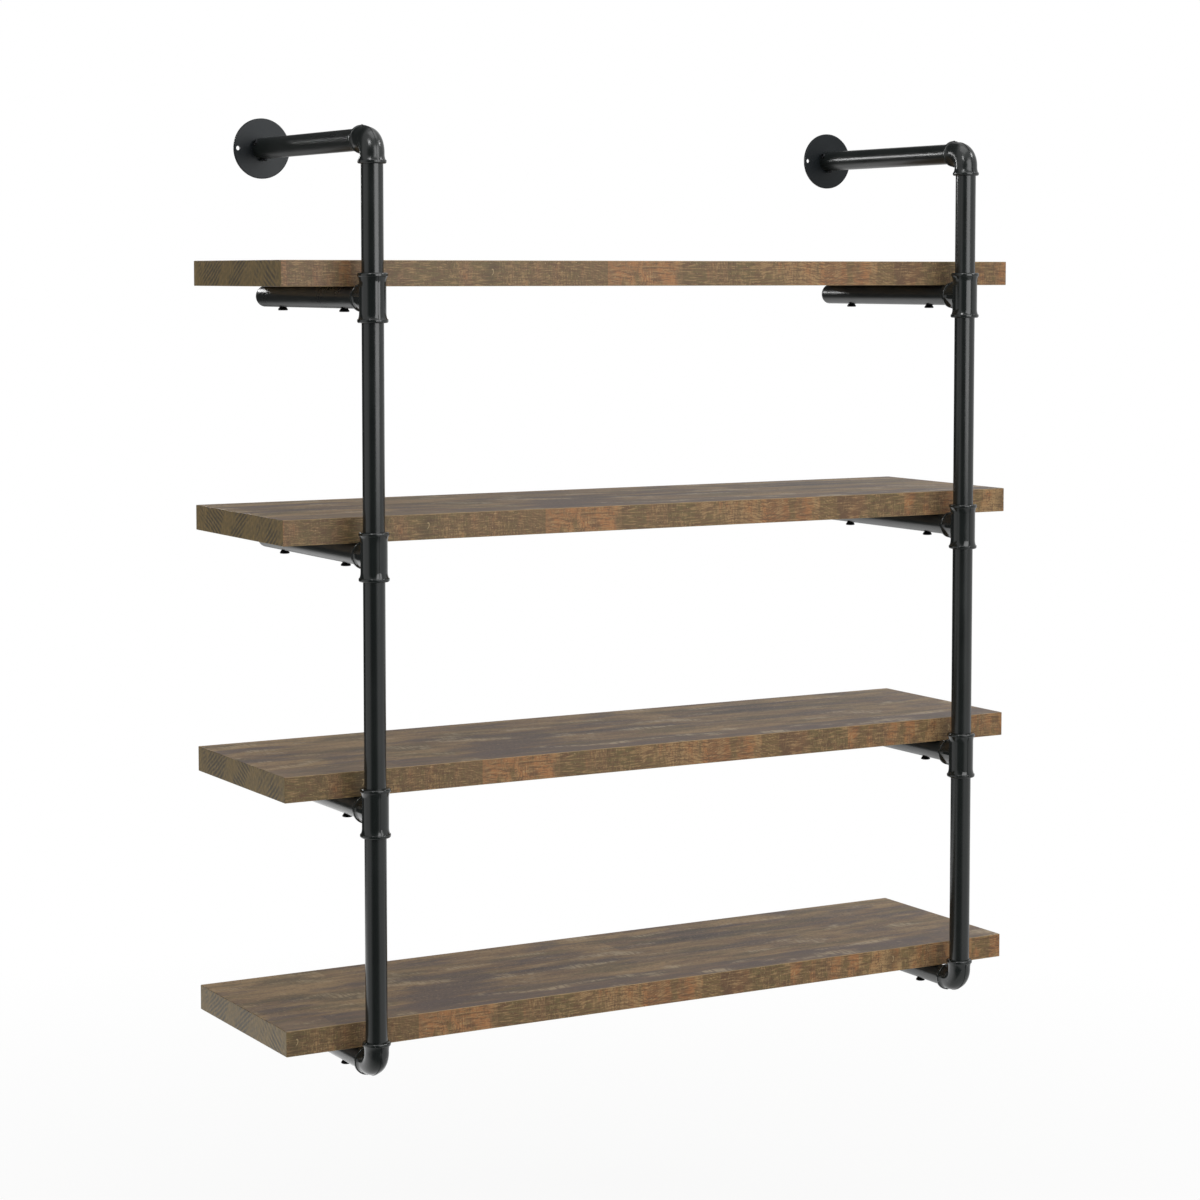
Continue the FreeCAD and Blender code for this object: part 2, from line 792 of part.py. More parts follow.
make_sheet()
shelf = build_shelf()
doc.recompute()
check(shelf)
write_parts(shelf)
for node in shelf:
    box = node.Shape.optimalBoundingBox()
    low = f"{box.XMin:.1f} {box.YMin:.1f} {box.ZMin:.1f}"
    high = f"{box.XMax:.1f} {box.YMax:.1f} {box.ZMax:.1f}"
    print(f"{node.Label}: {len(node.Shape.Solids)} solids, {node.Shape.Volume:.1f} mm3, from {low} to {high}")
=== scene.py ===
import logging
import math
from dataclasses import dataclass
from enum import Enum

import bmesh
import bpy
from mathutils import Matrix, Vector


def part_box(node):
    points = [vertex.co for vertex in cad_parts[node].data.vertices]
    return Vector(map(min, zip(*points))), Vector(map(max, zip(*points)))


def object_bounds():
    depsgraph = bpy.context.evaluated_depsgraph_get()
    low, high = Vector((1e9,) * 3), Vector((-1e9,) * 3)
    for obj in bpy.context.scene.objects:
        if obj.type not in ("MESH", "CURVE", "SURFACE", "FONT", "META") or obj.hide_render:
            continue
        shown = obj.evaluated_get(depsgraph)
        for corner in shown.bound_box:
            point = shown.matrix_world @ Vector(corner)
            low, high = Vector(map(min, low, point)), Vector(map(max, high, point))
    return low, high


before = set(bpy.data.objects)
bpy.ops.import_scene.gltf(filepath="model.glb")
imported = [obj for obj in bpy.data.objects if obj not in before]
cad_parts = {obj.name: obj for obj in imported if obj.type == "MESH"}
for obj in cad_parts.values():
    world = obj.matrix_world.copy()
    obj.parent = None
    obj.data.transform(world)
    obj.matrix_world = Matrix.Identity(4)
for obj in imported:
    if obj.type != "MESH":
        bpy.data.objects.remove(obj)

CAD_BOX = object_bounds()
BOARD_COUNT = 4
LOG = logging.getLogger("wall_shelf")
MM = 0.001
WHITE = (1.0, 1.0, 1.0, 1.0)

Tree = bpy.types.NodeTree
Node = bpy.types.Node
Socket = bpy.types.NodeSocket
Place = tuple[float, float, float]
# Where something begins and where it is full, or what it is at its least and at its most.
Levels = tuple[float, float]


class Side(Enum):
    """The two pipe ladders, as the names of their nodes begin."""

    LEFT = "left"
    RIGHT = "right"


class Face(Enum):
    """The kinds of board face, each with the axis that its normal lies along."""

    BROAD = "Z"
    EDGE = "Y"
    END = "X"


class Tone(Enum):
    """The inks of the printed oak. The ends have two of their own."""

    UMBER = "#4f4130"
    BARK = "#644b38"
    PLUM = "#66554e"
    OLIVE = "#6b5d3e"
    BROWN = "#85684a"
    RUSSET = "#a47249"
    TAN = "#a98a60"
    CREAM = "#bda57b"
    END_DARK = "#382c08"
    END_LIGHT = "#927636"


Ramp = tuple[tuple[float, Tone], ...]


def linear(colour: str) -> tuple[float, float, float, float]:
    """Turn an sRGB hex colour into the linear values that Blender's sockets hold.

    Args:
        colour: Six hex digits after a hash sign.

    Returns:
        Red, green, blue and an alpha of 1.
    """
    parts = [int(colour[place:place + 2], 16) / 255 for place in (1, 3, 5)]
    return (*(c / 12.92 if c <= 0.04045 else ((c + 0.055) / 1.055) ** 2.4 for c in parts), 1.0)


def add_node(tree: Tree, kind: str, inputs: dict | None = None, **settings: object) -> Node:
    """Add a shader node, with its settings and links.

    Args:
        tree: The node tree that gets the node.
        kind: The node's type, without the prefix that all shader nodes share.
        inputs: For each input's name or number, a plain value, or the node or socket that feeds it.
        settings: The node's own properties. stops gives a colour ramp's places and tones.

    Returns:
        The new node.
    """
    node = tree.nodes.new(f"ShaderNode{kind}")
    stops = settings.pop("stops", ())
    for name, value in settings.items():
        setattr(node, name, value)
    for index, (place, tone) in enumerate(stops):
        ramp = node.color_ramp.elements
        stop = ramp[index] if index < len(ramp) else ramp.new(place)
        stop.position = place
        stop.color = linear(tone.value)
    for name, value in (inputs or {}).items():
        named = [socket for socket in node.inputs if socket.enabled and socket.name == name]
        socket = named[0] if named else node.inputs[name]
        if isinstance(value, Node):
            value = next(out for out in value.outputs if out.enabled)
        if isinstance(value, Socket):
            tree.links.new(value, socket)
        else:
            socket.default_value = value
    return node


def new_material(name: str) -> bpy.types.Material:
    """Make a material whose node tree is empty."""
    material = bpy.data.materials.new(name)
    material.use_nodes = True
    material.node_tree.nodes.clear()
    return material


def finish_surface(material: bpy.types.Material, inputs: dict) -> bpy.types.Material:
    """Give a material its surface shader and output.

    Args:
        material: The material to finish.
        inputs: Values and links for the surface shader.

    Returns:
        The same material.
    """
    shader = add_node(material.node_tree, "BsdfPrincipled", inputs)
    add_node(material.node_tree, "OutputMaterial", {"Surface": shader})
    LOG.info("finish %s", material.name)
    return material


def millimetres(tree: Tree, shift: Place = (0, 0, 0)) -> Node:
    """The place of a surface point in the shelf's own frame, in millimetres.

    Args:
        tree: The node tree that gets the nodes.
        shift: How far the pattern is slid, in millimetres.

    Returns:
        The node that gives the place.
    """
    place = add_node(tree, "TexCoord").outputs["Object"]
    return add_node(tree, "Mapping", {"Vector": place, "Scale": (1 / MM,) * 3, "Location": shift})


@dataclass(frozen=True)
class BlackCoat:
    """Black polyester powder coat, sprayed and baked.

    On the drawn tube of the posts it is an even satin, and a faint orange peel softens the edges of each
    highlight. On the level pipes it is a little duller, so that their highlights spread. On a casting the
    sandy skin of the iron shows through it, and on cut plate it lies flat and nearly matt. A scuffed coat
    has lost a few small flakes, down to the bare iron.
    """

    name: str
    colour: str = "#131716"
    worn: str = "#1c2120"
    roughness: float = 0.22
    roughness_spread: float = 0.03
    mirror_level: float = 0.5
    peel_mm: float = 1.8
    peel_depth_mm: float = 0.003
    skin_mm: float = 0.7
    skin_depth_mm: float = 0.0
    clouds_mm: float = 45.0
    cloud_levels: Levels = (0.3, 0.7)
    chip_mm: float = 3.0
    chip_level: float = 0.76
    chip_edge: float = 0.02
    chip_share: float = 0.0
    bare_iron: str = "#b9bdc0"

    def build(self) -> bpy.types.Material:
        """Make the material."""
        material = new_material(self.name)
        tree = material.node_tree
        place = millimetres(tree)
        clouds = add_node(tree, "TexNoise", {"Vector": place, "Scale": 1 / self.clouds_mm, "Detail": 4.0})
        tone = add_node(tree, "Mix", {"Factor": clouds, "A": linear(self.colour), "B": linear(self.worn)},
                        data_type="RGBA")
        gloss = add_node(tree, "MapRange", {
            "Value": clouds, "From Min": self.cloud_levels[0], "From Max": self.cloud_levels[1],
            "To Min": self.roughness - self.roughness_spread,
            "To Max": self.roughness + self.roughness_spread})
        peel = add_node(tree, "TexNoise", {"Vector": place, "Scale": 1 / self.peel_mm, "Detail": 1.0})
        bump = add_node(tree, "Bump", {"Height": peel, "Distance": self.peel_depth_mm * MM, "Strength": 1.0})
        if self.skin_depth_mm:
            skin = add_node(tree, "TexNoise", {"Vector": place, "Scale": 1 / self.skin_mm, "Detail": 3.0})
            bump = add_node(tree, "Bump", {"Height": skin, "Distance": self.skin_depth_mm * MM,
                                           "Strength": 1.0, "Normal": bump})
        if self.chip_share:
            tone = self.chip(tree, place, tone)
        return finish_surface(material, {"Base Color": tone, "Roughness": gloss, "Normal": bump,
                                         "Specular IOR Level": self.mirror_level})

    def chip(self, tree: Tree, place: Node, tone: Node) -> Node:
        """Knock a few small flakes off the coat.

        Args:
            tree: The node tree that gets the nodes.
            place: The place in millimetres.
            tone: The coat's colour.

        Returns:
            The node that gives the colour with the chips.
        """
        ragged = add_node(tree, "TexNoise", {"Vector": place, "Scale": 1 / self.chip_mm, "Detail": 4.0})
        level = self.chip_level - self.chip_share
        chips = add_node(tree, "MapRange", {"Value": ragged, "From Min": level,
                                            "From Max": level + self.chip_edge})
        return add_node(tree, "Mix", {"Factor": chips, "A": tone, "B": linear(self.bare_iron)},
                        data_type="RGBA")


@dataclass(frozen=True)
class BlackOxide:
    """Steel screws blackened in an oxide bath: dark metal with an oily sheen, paler where a key rubbed it."""

    name: str = "black_oxide_steel"
    colour: str = "#1c1d20"
    rubbed: str = "#3a3b3e"
    metallic: float = 0.85
    roughness: float = 0.38
    clouds_mm: float = 3.0
    rub_levels: Levels = (0.55, 0.75)
    pit_depth_mm: float = 0.02

    def build(self) -> bpy.types.Material:
        """Make the material."""
        material = new_material(self.name)
        tree = material.node_tree
        clouds = add_node(tree, "TexNoise", {"Vector": millimetres(tree), "Scale": 1 / self.clouds_mm,
                                             "Detail": 5.0})
        rub = add_node(tree, "MapRange", {"Value": clouds, "From Min": self.rub_levels[0],
                                          "From Max": self.rub_levels[1]})
        tone = add_node(tree, "Mix", {"Factor": rub, "A": linear(self.colour), "B": linear(self.rubbed)},
                        data_type="RGBA")
        bump = add_node(tree, "Bump", {"Height": clouds, "Distance": self.pit_depth_mm * MM, "Strength": 1.0})
        return finish_surface(material, {"Base Color": tone, "Metallic": self.metallic,
                                         "Roughness": self.roughness, "Normal": bump})


@dataclass(frozen=True)
class ZincPlate:
    """Zinc-plated steel inserts: bright blue-white metal, with turning marks round the axis.

    The marks are drawn a few times as coarse as real ones, so that they show.
    """

    name: str = "zinc_plated_steel"
    colour: str = "#c3c8cd"
    dull: str = "#a3a8ab"
    roughness: float = 0.32
    mark_mm: float = 0.5
    mark_length_mm: float = 10.0
    mark_depth_mm: float = 0.01

    def build(self) -> bpy.types.Material:
        """Make the material."""
        material = new_material(self.name)
        tree = material.node_tree
        rings = add_node(tree, "Mapping", {
            "Vector": millimetres(tree),
            "Scale": (1 / self.mark_length_mm, 1 / self.mark_length_mm, 1 / self.mark_mm)})
        marks = add_node(tree, "TexNoise", {"Vector": rings, "Scale": 1.0, "Detail": 2.0})
        tone = add_node(tree, "Mix", {"Factor": marks, "A": linear(self.colour), "B": linear(self.dull)},
                        data_type="RGBA")
        bump = add_node(tree, "Bump", {"Height": marks, "Distance": self.mark_depth_mm * MM, "Strength": 1.0})
        return finish_surface(material, {"Base Color": tone, "Metallic": 1.0, "Roughness": self.roughness,
                                         "Normal": bump})


@dataclass(frozen=True)
class MouldedPolyethylene:
    """Black polyethylene plugs, moulded in a spark-eroded tool: soft, matt and slightly waxy.

    The texture that the tool leaves is drawn a few times as coarse as the real one, so that it shows.
    """

    name: str = "moulded_polyethylene"
    colour: str = "#17181a"
    ior: float = 1.51
    roughness: float = 0.52
    roughness_spread: float = 0.08
    texture_mm: float = 0.45
    texture_depth_mm: float = 0.02

    def build(self) -> bpy.types.Material:
        """Make the material."""
        material = new_material(self.name)
        tree = material.node_tree
        spark = add_node(tree, "TexNoise", {"Vector": millimetres(tree), "Scale": 1 / self.texture_mm,
                                            "Detail": 2.0})
        gloss = add_node(tree, "MapRange", {"Value": spark, "To Min": self.roughness - self.roughness_spread,
                                            "To Max": self.roughness + self.roughness_spread})
        bump = add_node(tree, "Bump", {"Height": spark, "Distance": self.texture_depth_mm * MM,
                                       "Strength": 1.0})
        return finish_surface(material, {"Base Color": linear(self.colour), "Roughness": gloss,
                                         "Normal": bump, "IOR": self.ior})


@dataclass(frozen=True)
class Streaks:
    """A noise drawn out along a board. The length and width of a streak are in millimetres."""

    length: float
    width: float
    detail: float = 2.0
    roughness: float = 0.5

    def draw(self, tree: Tree, place: Node) -> Node:
        """Draw the streaks.

        Args:
            tree: The node tree that gets the nodes.
            place: The place along and across the board, in millimetres.

        Returns:
            The node that gives the streaks, from 0 to 1 and mostly near 0.5.
        """
        scaled = add_node(tree, "Mapping", {"Vector": place, "Scale": (1 / self.length, 1 / self.width, 1)})
        return add_node(tree, "TexNoise", {"Vector": scaled, "Scale": 1.0, "Detail": self.detail,
                                           "Roughness": self.roughness}, noise_dimensions="2D")


@dataclass(frozen=True)
class Ink:
    """One ink of the printed wood, laid in streaks whose length and width are in millimetres.

    It begins to show where its streaks are at start, and where they are at full it lies on the print at its
    share. An ink whose full is below its start fills the gaps between the streaks. A sawn ink keeps to the
    sawn patches.
    """

    tone: Tone
    length: float
    width: float
    start: float
    full: float
    share: float
    detail: float = 3.0
    roughness: float = 0.6
    sawn: bool = False

    def lay(self, tree: Tree, place: Node, below: Node, where: Node | None = None) -> Node:
        """Print this ink over what lies below it.

        Args:
            tree: The node tree that gets the nodes.
            place: The place along and across the board, in millimetres.
            below: The colour so far.
            where: How much of the ink each place takes, from 0 to 1.

        Returns:
            The node that gives the new colour.
        """
        streaks = Streaks(self.length, self.width, self.detail, self.roughness).draw(tree, place)
        share = add_node(tree, "MapRange", {"Value": streaks, "From Min": self.start, "From Max": self.full,
                                            "To Max": self.share})
        if where:
            share = add_node(tree, "Math", {0: share, 1: where}, operation="MULTIPLY")
        return add_node(tree, "Mix", {"Factor": share, "A": below, "B": linear(self.tone.value)},
                        data_type="RGBA")


@dataclass(frozen=True)
class BroadPrint:
    """The print on a board's top and underside: rows of long streaky staves with worn, saw-marked patches.

    The rows lie along the board, and the front one is narrower and more plum than the others. The streaks
    bend a little, and where the print is worn, short cream ticks cross the grain.
    """

    row_mm: float = 58.0
    front_row_mm: float = 48.0
    stave_mm: float = 430.0
    stagger: float = 9.0
    bends: Streaks = Streaks(190, 40)
    bend_mm: float = 9.0
    streaks: Streaks = Streaks(140, 19, 5.0, 0.6)
    fibres: Streaks = Streaks(26, 0.9)
    stave_contrast: float = 0.22
    fibre_contrast: float = 0.16
    ramp: Ramp = ((0.33, Tone.UMBER), (0.48, Tone.PLUM), (0.62, Tone.BROWN), (0.83, Tone.TAN))
    inks: tuple[Ink, ...] = (
        Ink(Tone.OLIVE, 130, 26, 0.48, 0.62, 0.7, 4.0),
        Ink(Tone.PLUM, 170, 46, 0.48, 0.36, 0.85),
        Ink(Tone.TAN, 160, 34, 0.55, 0.72, 0.6, 4.0),
        Ink(Tone.UMBER, 80, 3.5, 0.4, 0.28, 0.4),
        Ink(Tone.CREAM, 70, 2.0, 0.66, 0.8, 0.4),
        Ink(Tone.UMBER, 6.0, 2.6, 0.54, 0.7, 0.6),
        Ink(Tone.CREAM, 5.0, 2.6, 0.6, 0.74, 0.6),
    )
    ticks: Streaks = Streaks(3.6, 20, 1.0)
    tick_levels: Levels = (0.4, 0.58)
    tick_least: float = 0.2
    worn: Streaks = Streaks(80, 24, 3.0)
    worn_levels: Levels = (0.62, 0.8)
    worn_contrast: float = 0.12
    front_share: float = 0.5
    tick_share: float = 0.7
    fibre_height: float = 0.6

    def draw(self, tree: Tree, along: Socket, across: Socket) -> tuple[Node, Node]:
        """Draw the print.

        Args:
            tree: The node tree that gets the nodes.
            along: The place along the board, in millimetres.
            across: The place from the front edge back.

        Returns:
            The colour, and the height of the emboss, mostly from 0 to 1.
        """
        flat = add_node(tree, "CombineXYZ", {"X": along, "Y": across})
        chance = self.draw_lots(tree, along, across)
        bend = add_node(tree, "MapRange", {"Value": self.bends.draw(tree, flat), "To Min": -self.bend_mm,
                                           "To Max": self.bend_mm})
        bent = add_node(tree, "Math", {0: across, 1: bend}, operation="ADD")
        bent = add_node(tree, "CombineXYZ", {"X": along, "Y": bent})
        fibre = self.fibres.draw(tree, bent)
        tone = self.streaks.draw(tree, bent)
        tone = add_node(tree, "Math", {0: chance["Red"], 1: self.stave_contrast, 2: tone},
                        operation="MULTIPLY_ADD")
        tone = add_node(tree, "Math", {0: fibre, 1: self.fibre_contrast, 2: tone}, operation="MULTIPLY_ADD")
        colour = add_node(tree, "ValToRGB", {0: tone}, stops=self.ramp)
        for ink in self.inks:
            colour = ink.lay(tree, bent, colour)
        ticks = add_node(tree, "MapRange", {
            "Value": self.ticks.draw(tree, flat), "From Min": self.tick_levels[0],
            "From Max": self.tick_levels[1], "To Min": self.tick_least})
        worn = add_node(tree, "Math", {0: chance["Green"], 1: self.worn_contrast,
                                       2: self.worn.draw(tree, bent)}, operation="MULTIPLY_ADD")
        worn = add_node(tree, "MapRange", {"Value": worn, "From Min": self.worn_levels[0],
                                           "From Max": self.worn_levels[1]}, interpolation_type="SMOOTHSTEP")
        ticks = add_node(tree, "Math", {0: worn, 1: ticks}, operation="MULTIPLY")
        front = add_node(tree, "Math", {0: across, 1: self.front_row_mm}, operation="LESS_THAN")
        for where, share, ink in ((front, self.front_share, Tone.PLUM), (ticks, self.tick_share, Tone.CREAM)):
            share = add_node(tree, "Math", {0: where, 1: share}, operation="MULTIPLY")
            colour = add_node(tree, "Mix", {"Factor": share, "A": colour, "B": linear(ink.value)},
                              data_type="RGBA")
        height = add_node(tree, "Math", {0: fibre, 1: self.fibre_height, 2: ticks}, operation="MULTIPLY_ADD")
        return colour, height

    def draw_lots(self, tree: Tree, along: Socket, across: Socket) -> bpy.types.bpy_prop_collection:
        """Give each stave three chances of its own, from 0 to 1.

        Args:
            tree: The node tree that gets the nodes.
            along: The place along the board, in millimetres.
            across: The place from the front edge back.

        Returns:
            The sockets Red, Green and Blue that give the chances.
        """
        row = add_node(tree, "Math", {0: across, 1: self.row_mm - self.front_row_mm}, operation="ADD")
        row = add_node(tree, "Math", {0: row, 1: self.row_mm}, operation="DIVIDE")
        row = add_node(tree, "Math", {0: row}, operation="FLOOR")
        row_chance = add_node(tree, "TexWhiteNoise", {"W": row}, noise_dimensions="1D").outputs["Value"]
        stave = add_node(tree, "Math", {0: along, 1: self.stave_mm}, operation="DIVIDE")
        stave = add_node(tree, "Math", {0: row_chance, 1: self.stagger, 2: stave}, operation="MULTIPLY_ADD")
        stave = add_node(tree, "Math", {0: stave}, operation="FLOOR")
        stave = add_node(tree, "CombineXYZ", {"X": row, "Y": stave})
        chance = add_node(tree, "TexWhiteNoise", {"Vector": stave}, noise_dimensions="2D").outputs["Color"]
        return add_node(tree, "SeparateColor", {0: chance}).outputs


@dataclass(frozen=True)
class EdgePrint:
    """The print on the front and the back edge: short blocks of sawn oak.

    Some blocks start dark and fade, some carry arched growth lines, and a few have a small knot with a cream
    comma. A faint pale line runs along the top of the edge. The upright saw ticks are drawn about twice as
    coarse as real ones, and the fine lines a little coarser, so that they show from afar.
    """

    block_mm: float = 104.0
    middle: float = 0.5
    bands: Streaks = Streaks(42, 90, 5.0, 0.68)
    block_contrast: float = 0.42
    ramp: Ramp = ((0.52, Tone.OLIVE), (0.63, Tone.BROWN), (0.76, Tone.RUSSET), (0.94, Tone.TAN))
    dark_chances: Levels = (0.5, 0.75)
    dark_share: float = 0.95
    dark_reach: float = 0.8
    sawn: Streaks = Streaks(46, 50, 3.0)
    sawn_levels: Levels = (0.42, 0.6)
    sawn_least: float = 0.15
    inks: tuple[Ink, ...] = (
        Ink(Tone.OLIVE, 38, 120, 0.5, 0.58, 0.85, 4.0),
        Ink(Tone.BARK, 50, 16, 0.56, 0.74, 0.35, 4.0),
        Ink(Tone.BARK, 20, 2.4, 0.48, 0.62, 0.8),
        Ink(Tone.TAN, 18, 2.0, 0.52, 0.66, 0.65),
        Ink(Tone.BARK, 2.0, 16, 0.5, 0.7, 0.75, sawn=True),
        Ink(Tone.TAN, 2.2, 11, 0.52, 0.7, 0.45, sawn=True),
        Ink(Tone.UMBER, 2.8, 1.8, 0.56, 0.68, 0.75, sawn=True),
        Ink(Tone.CREAM, 3.0, 2.0, 0.66, 0.76, 0.7),
    )
    line_mm: float = 3.2
    line_levels: Levels = (0.1, 1.0)
    line_chances: Levels = (0.5, 0.7)
    line_share: float = 0.5
    arch_rise_mm: float = 12.5
    wander: Streaks = Streaks(46, 24)
    wander_mm: float = 14.0
    knot_chance: float = 0.25
    knot_drop_mm: float = 14.0
    knot_lean: float = -0.25
    knot_squash: float = 0.6
    halo_reach_mm: Levels = (13.0, 3.0)
    halo_share: float = 0.6
    comma_radius_mm: float = 2.1
    comma_half_width_mm: float = 0.5
    comma_share: float = 0.55
    top_line_mm: float = 1.1
    top_line_share: float = 0.25
    emboss: Streaks = Streaks(2.4, 16)

    def draw(self, tree: Tree, along: Socket, up: Socket) -> tuple[Node, Node]:
        """Draw the print.

        Args:
            tree: The node tree that gets the nodes.
            along: The place along the board, in millimetres.
            up: The height over the board's top face.

        Returns:
            The colour, and the height of the emboss from 0 to 1.
        """
        flat = add_node(tree, "CombineXYZ", {"X": along, "Y": up})
        block = add_node(tree, "Math", {0: along, 1: self.block_mm}, operation="DIVIDE")
        number = add_node(tree, "Math", {0: block}, operation="FLOOR")
        inside = add_node(tree, "Math", {0: block}, operation="FRACT")
        chance = add_node(tree, "TexWhiteNoise", {"W": number}, noise_dimensions="1D").outputs["Color"]
        chance = add_node(tree, "SeparateColor", {0: chance}).outputs
        tone = add_node(tree, "Math", {0: chance["Red"], 1: self.block_contrast,
                                       2: self.bands.draw(tree, flat)}, operation="MULTIPLY_ADD")
        colour = add_node(tree, "ValToRGB", {0: tone}, stops=self.ramp)
        dark = add_node(tree, "MapRange", {
            "Value": chance["Green"], "From Min": self.dark_chances[0], "From Max": self.dark_chances[1],
            "To Max": self.dark_share})
        faded = add_node(tree, "MapRange", {"Value": inside, "From Min": self.dark_reach, "From Max": 0.0})
        dark = add_node(tree, "Math", {0: dark, 1: faded}, operation="MULTIPLY")
        colour = add_node(tree, "Mix", {"Factor": dark, "A": colour, "B": linear(Tone.BARK.value)},
                          data_type="RGBA")
        sawn = add_node(tree, "MapRange", {
            "Value": self.sawn.draw(tree, flat), "From Min": self.sawn_levels[0],
            "From Max": self.sawn_levels[1], "To Min": self.sawn_least})
        for ink in self.inks:
            colour = ink.lay(tree, flat, colour, sawn if ink.sawn else None)
        aside = add_node(tree, "Math", {0: inside, 1: self.middle}, operation="SUBTRACT")
        lines = self.growth_lines(tree, flat, aside, up, chance["Blue"])
        halo, comma = self.knot(tree, aside, up, chance["Blue"])
        # A faint pale line along the top millimetre of the edge, mixed towards cream.
        top_line = add_node(tree, "MapRange", {"Value": up, "From Min": -self.top_line_mm,
                                           "From Max": -self.top_line_mm / 2, "To Max": self.top_line_share})
        for share, ink in ((lines, Tone.BARK), (halo, Tone.UMBER), (comma, Tone.CREAM), (top_line, Tone.CREAM)):
            colour = add_node(tree, "Mix", {"Factor": share, "A": colour, "B": linear(ink.value)},
                              data_type="RGBA")
        return colour, self.emboss.draw(tree, flat)

    def growth_lines(self, tree: Tree, flat: Node, aside: Node, up: Socket, chance: Socket) -> Node:
        """Draw arched growth lines on some of the blocks.

        Args:
            tree: The node tree that gets the nodes.
            flat: The place along and up the edge, in millimetres.
            aside: The place from the block's middle, as a share of the block.
            up: The height over the board's top face, in millimetres.
            chance: The block's own chance, from 0 to 1.

        Returns:
            The node that gives how much the lines darken each place.
        """
        arch = add_node(tree, "Math", {0: aside, 1: 2.0}, operation="POWER")
        arch = add_node(tree, "Math", {0: arch, 1: self.arch_rise_mm / self.middle ** 2, 2: up},
                        operation="MULTIPLY_ADD")
        arch = add_node(tree, "Math", {0: self.wander.draw(tree, flat), 1: self.wander_mm, 2: arch},
                        operation="MULTIPLY_ADD")
        arch = add_node(tree, "Math", {0: arch, 1: math.tau / self.line_mm}, operation="MULTIPLY")
        lines = add_node(tree, "Math", {0: arch}, operation="SINE")
        lines = add_node(tree, "MapRange", {"Value": lines, "From Min": self.line_levels[0],
                                            "From Max": self.line_levels[1]})
        figured = add_node(tree, "MapRange", {
            "Value": chance, "From Min": self.line_chances[0], "From Max": self.line_chances[1],
            "To Max": self.line_share})
        return add_node(tree, "Math", {0: lines, 1: figured}, operation="MULTIPLY")

    def knot(self, tree: Tree, aside: Node, up: Socket, chance: Socket) -> tuple[Node, Node]:
        """Draw a small knot in the middle of some of the blocks.

        Args:
            tree: The node tree that gets the nodes.
            aside: The place from the block's middle, as a share of the block.
            up: The height over the board's top face, in millimetres.
            chance: The block's own chance, from 0 to 1.

        Returns:
            How much of each place the dark halo takes, and how much the cream comma takes.
        """
        aside = add_node(tree, "Math", {0: aside, 1: self.block_mm}, operation="MULTIPLY")
        above = add_node(tree, "Math", {0: up, 1: self.knot_drop_mm}, operation="ADD")
        leaning = add_node(tree, "Math", {0: above, 1: self.knot_lean, 2: aside}, operation="MULTIPLY_ADD")
        squashed = add_node(tree, "Math", {0: above, 1: self.knot_squash}, operation="MULTIPLY")
        apart = add_node(tree, "CombineXYZ", {"X": leaning, "Y": squashed})
        apart = add_node(tree, "VectorMath", {0: apart}, operation="LENGTH").outputs["Value"]
        knotted = add_node(tree, "Math", {0: chance, 1: self.knot_chance}, operation="LESS_THAN")
        halo = add_node(tree, "MapRange", {
            "Value": apart, "From Min": self.halo_reach_mm[0], "From Max": self.halo_reach_mm[1],
            "To Max": self.halo_share})
        halo = add_node(tree, "Math", {0: halo, 1: knotted}, operation="MULTIPLY")
        comma = add_node(tree, "Math", {0: apart, 1: self.comma_radius_mm, 2: self.comma_half_width_mm},
                         operation="COMPARE")
        half = add_node(tree, "Math", {0: aside, 1: 0.0}, operation="GREATER_THAN")
        for share in (half, knotted, self.comma_share):
            comma = add_node(tree, "Math", {0: comma, 1: share}, operation="MULTIPLY")
        return halo, comma


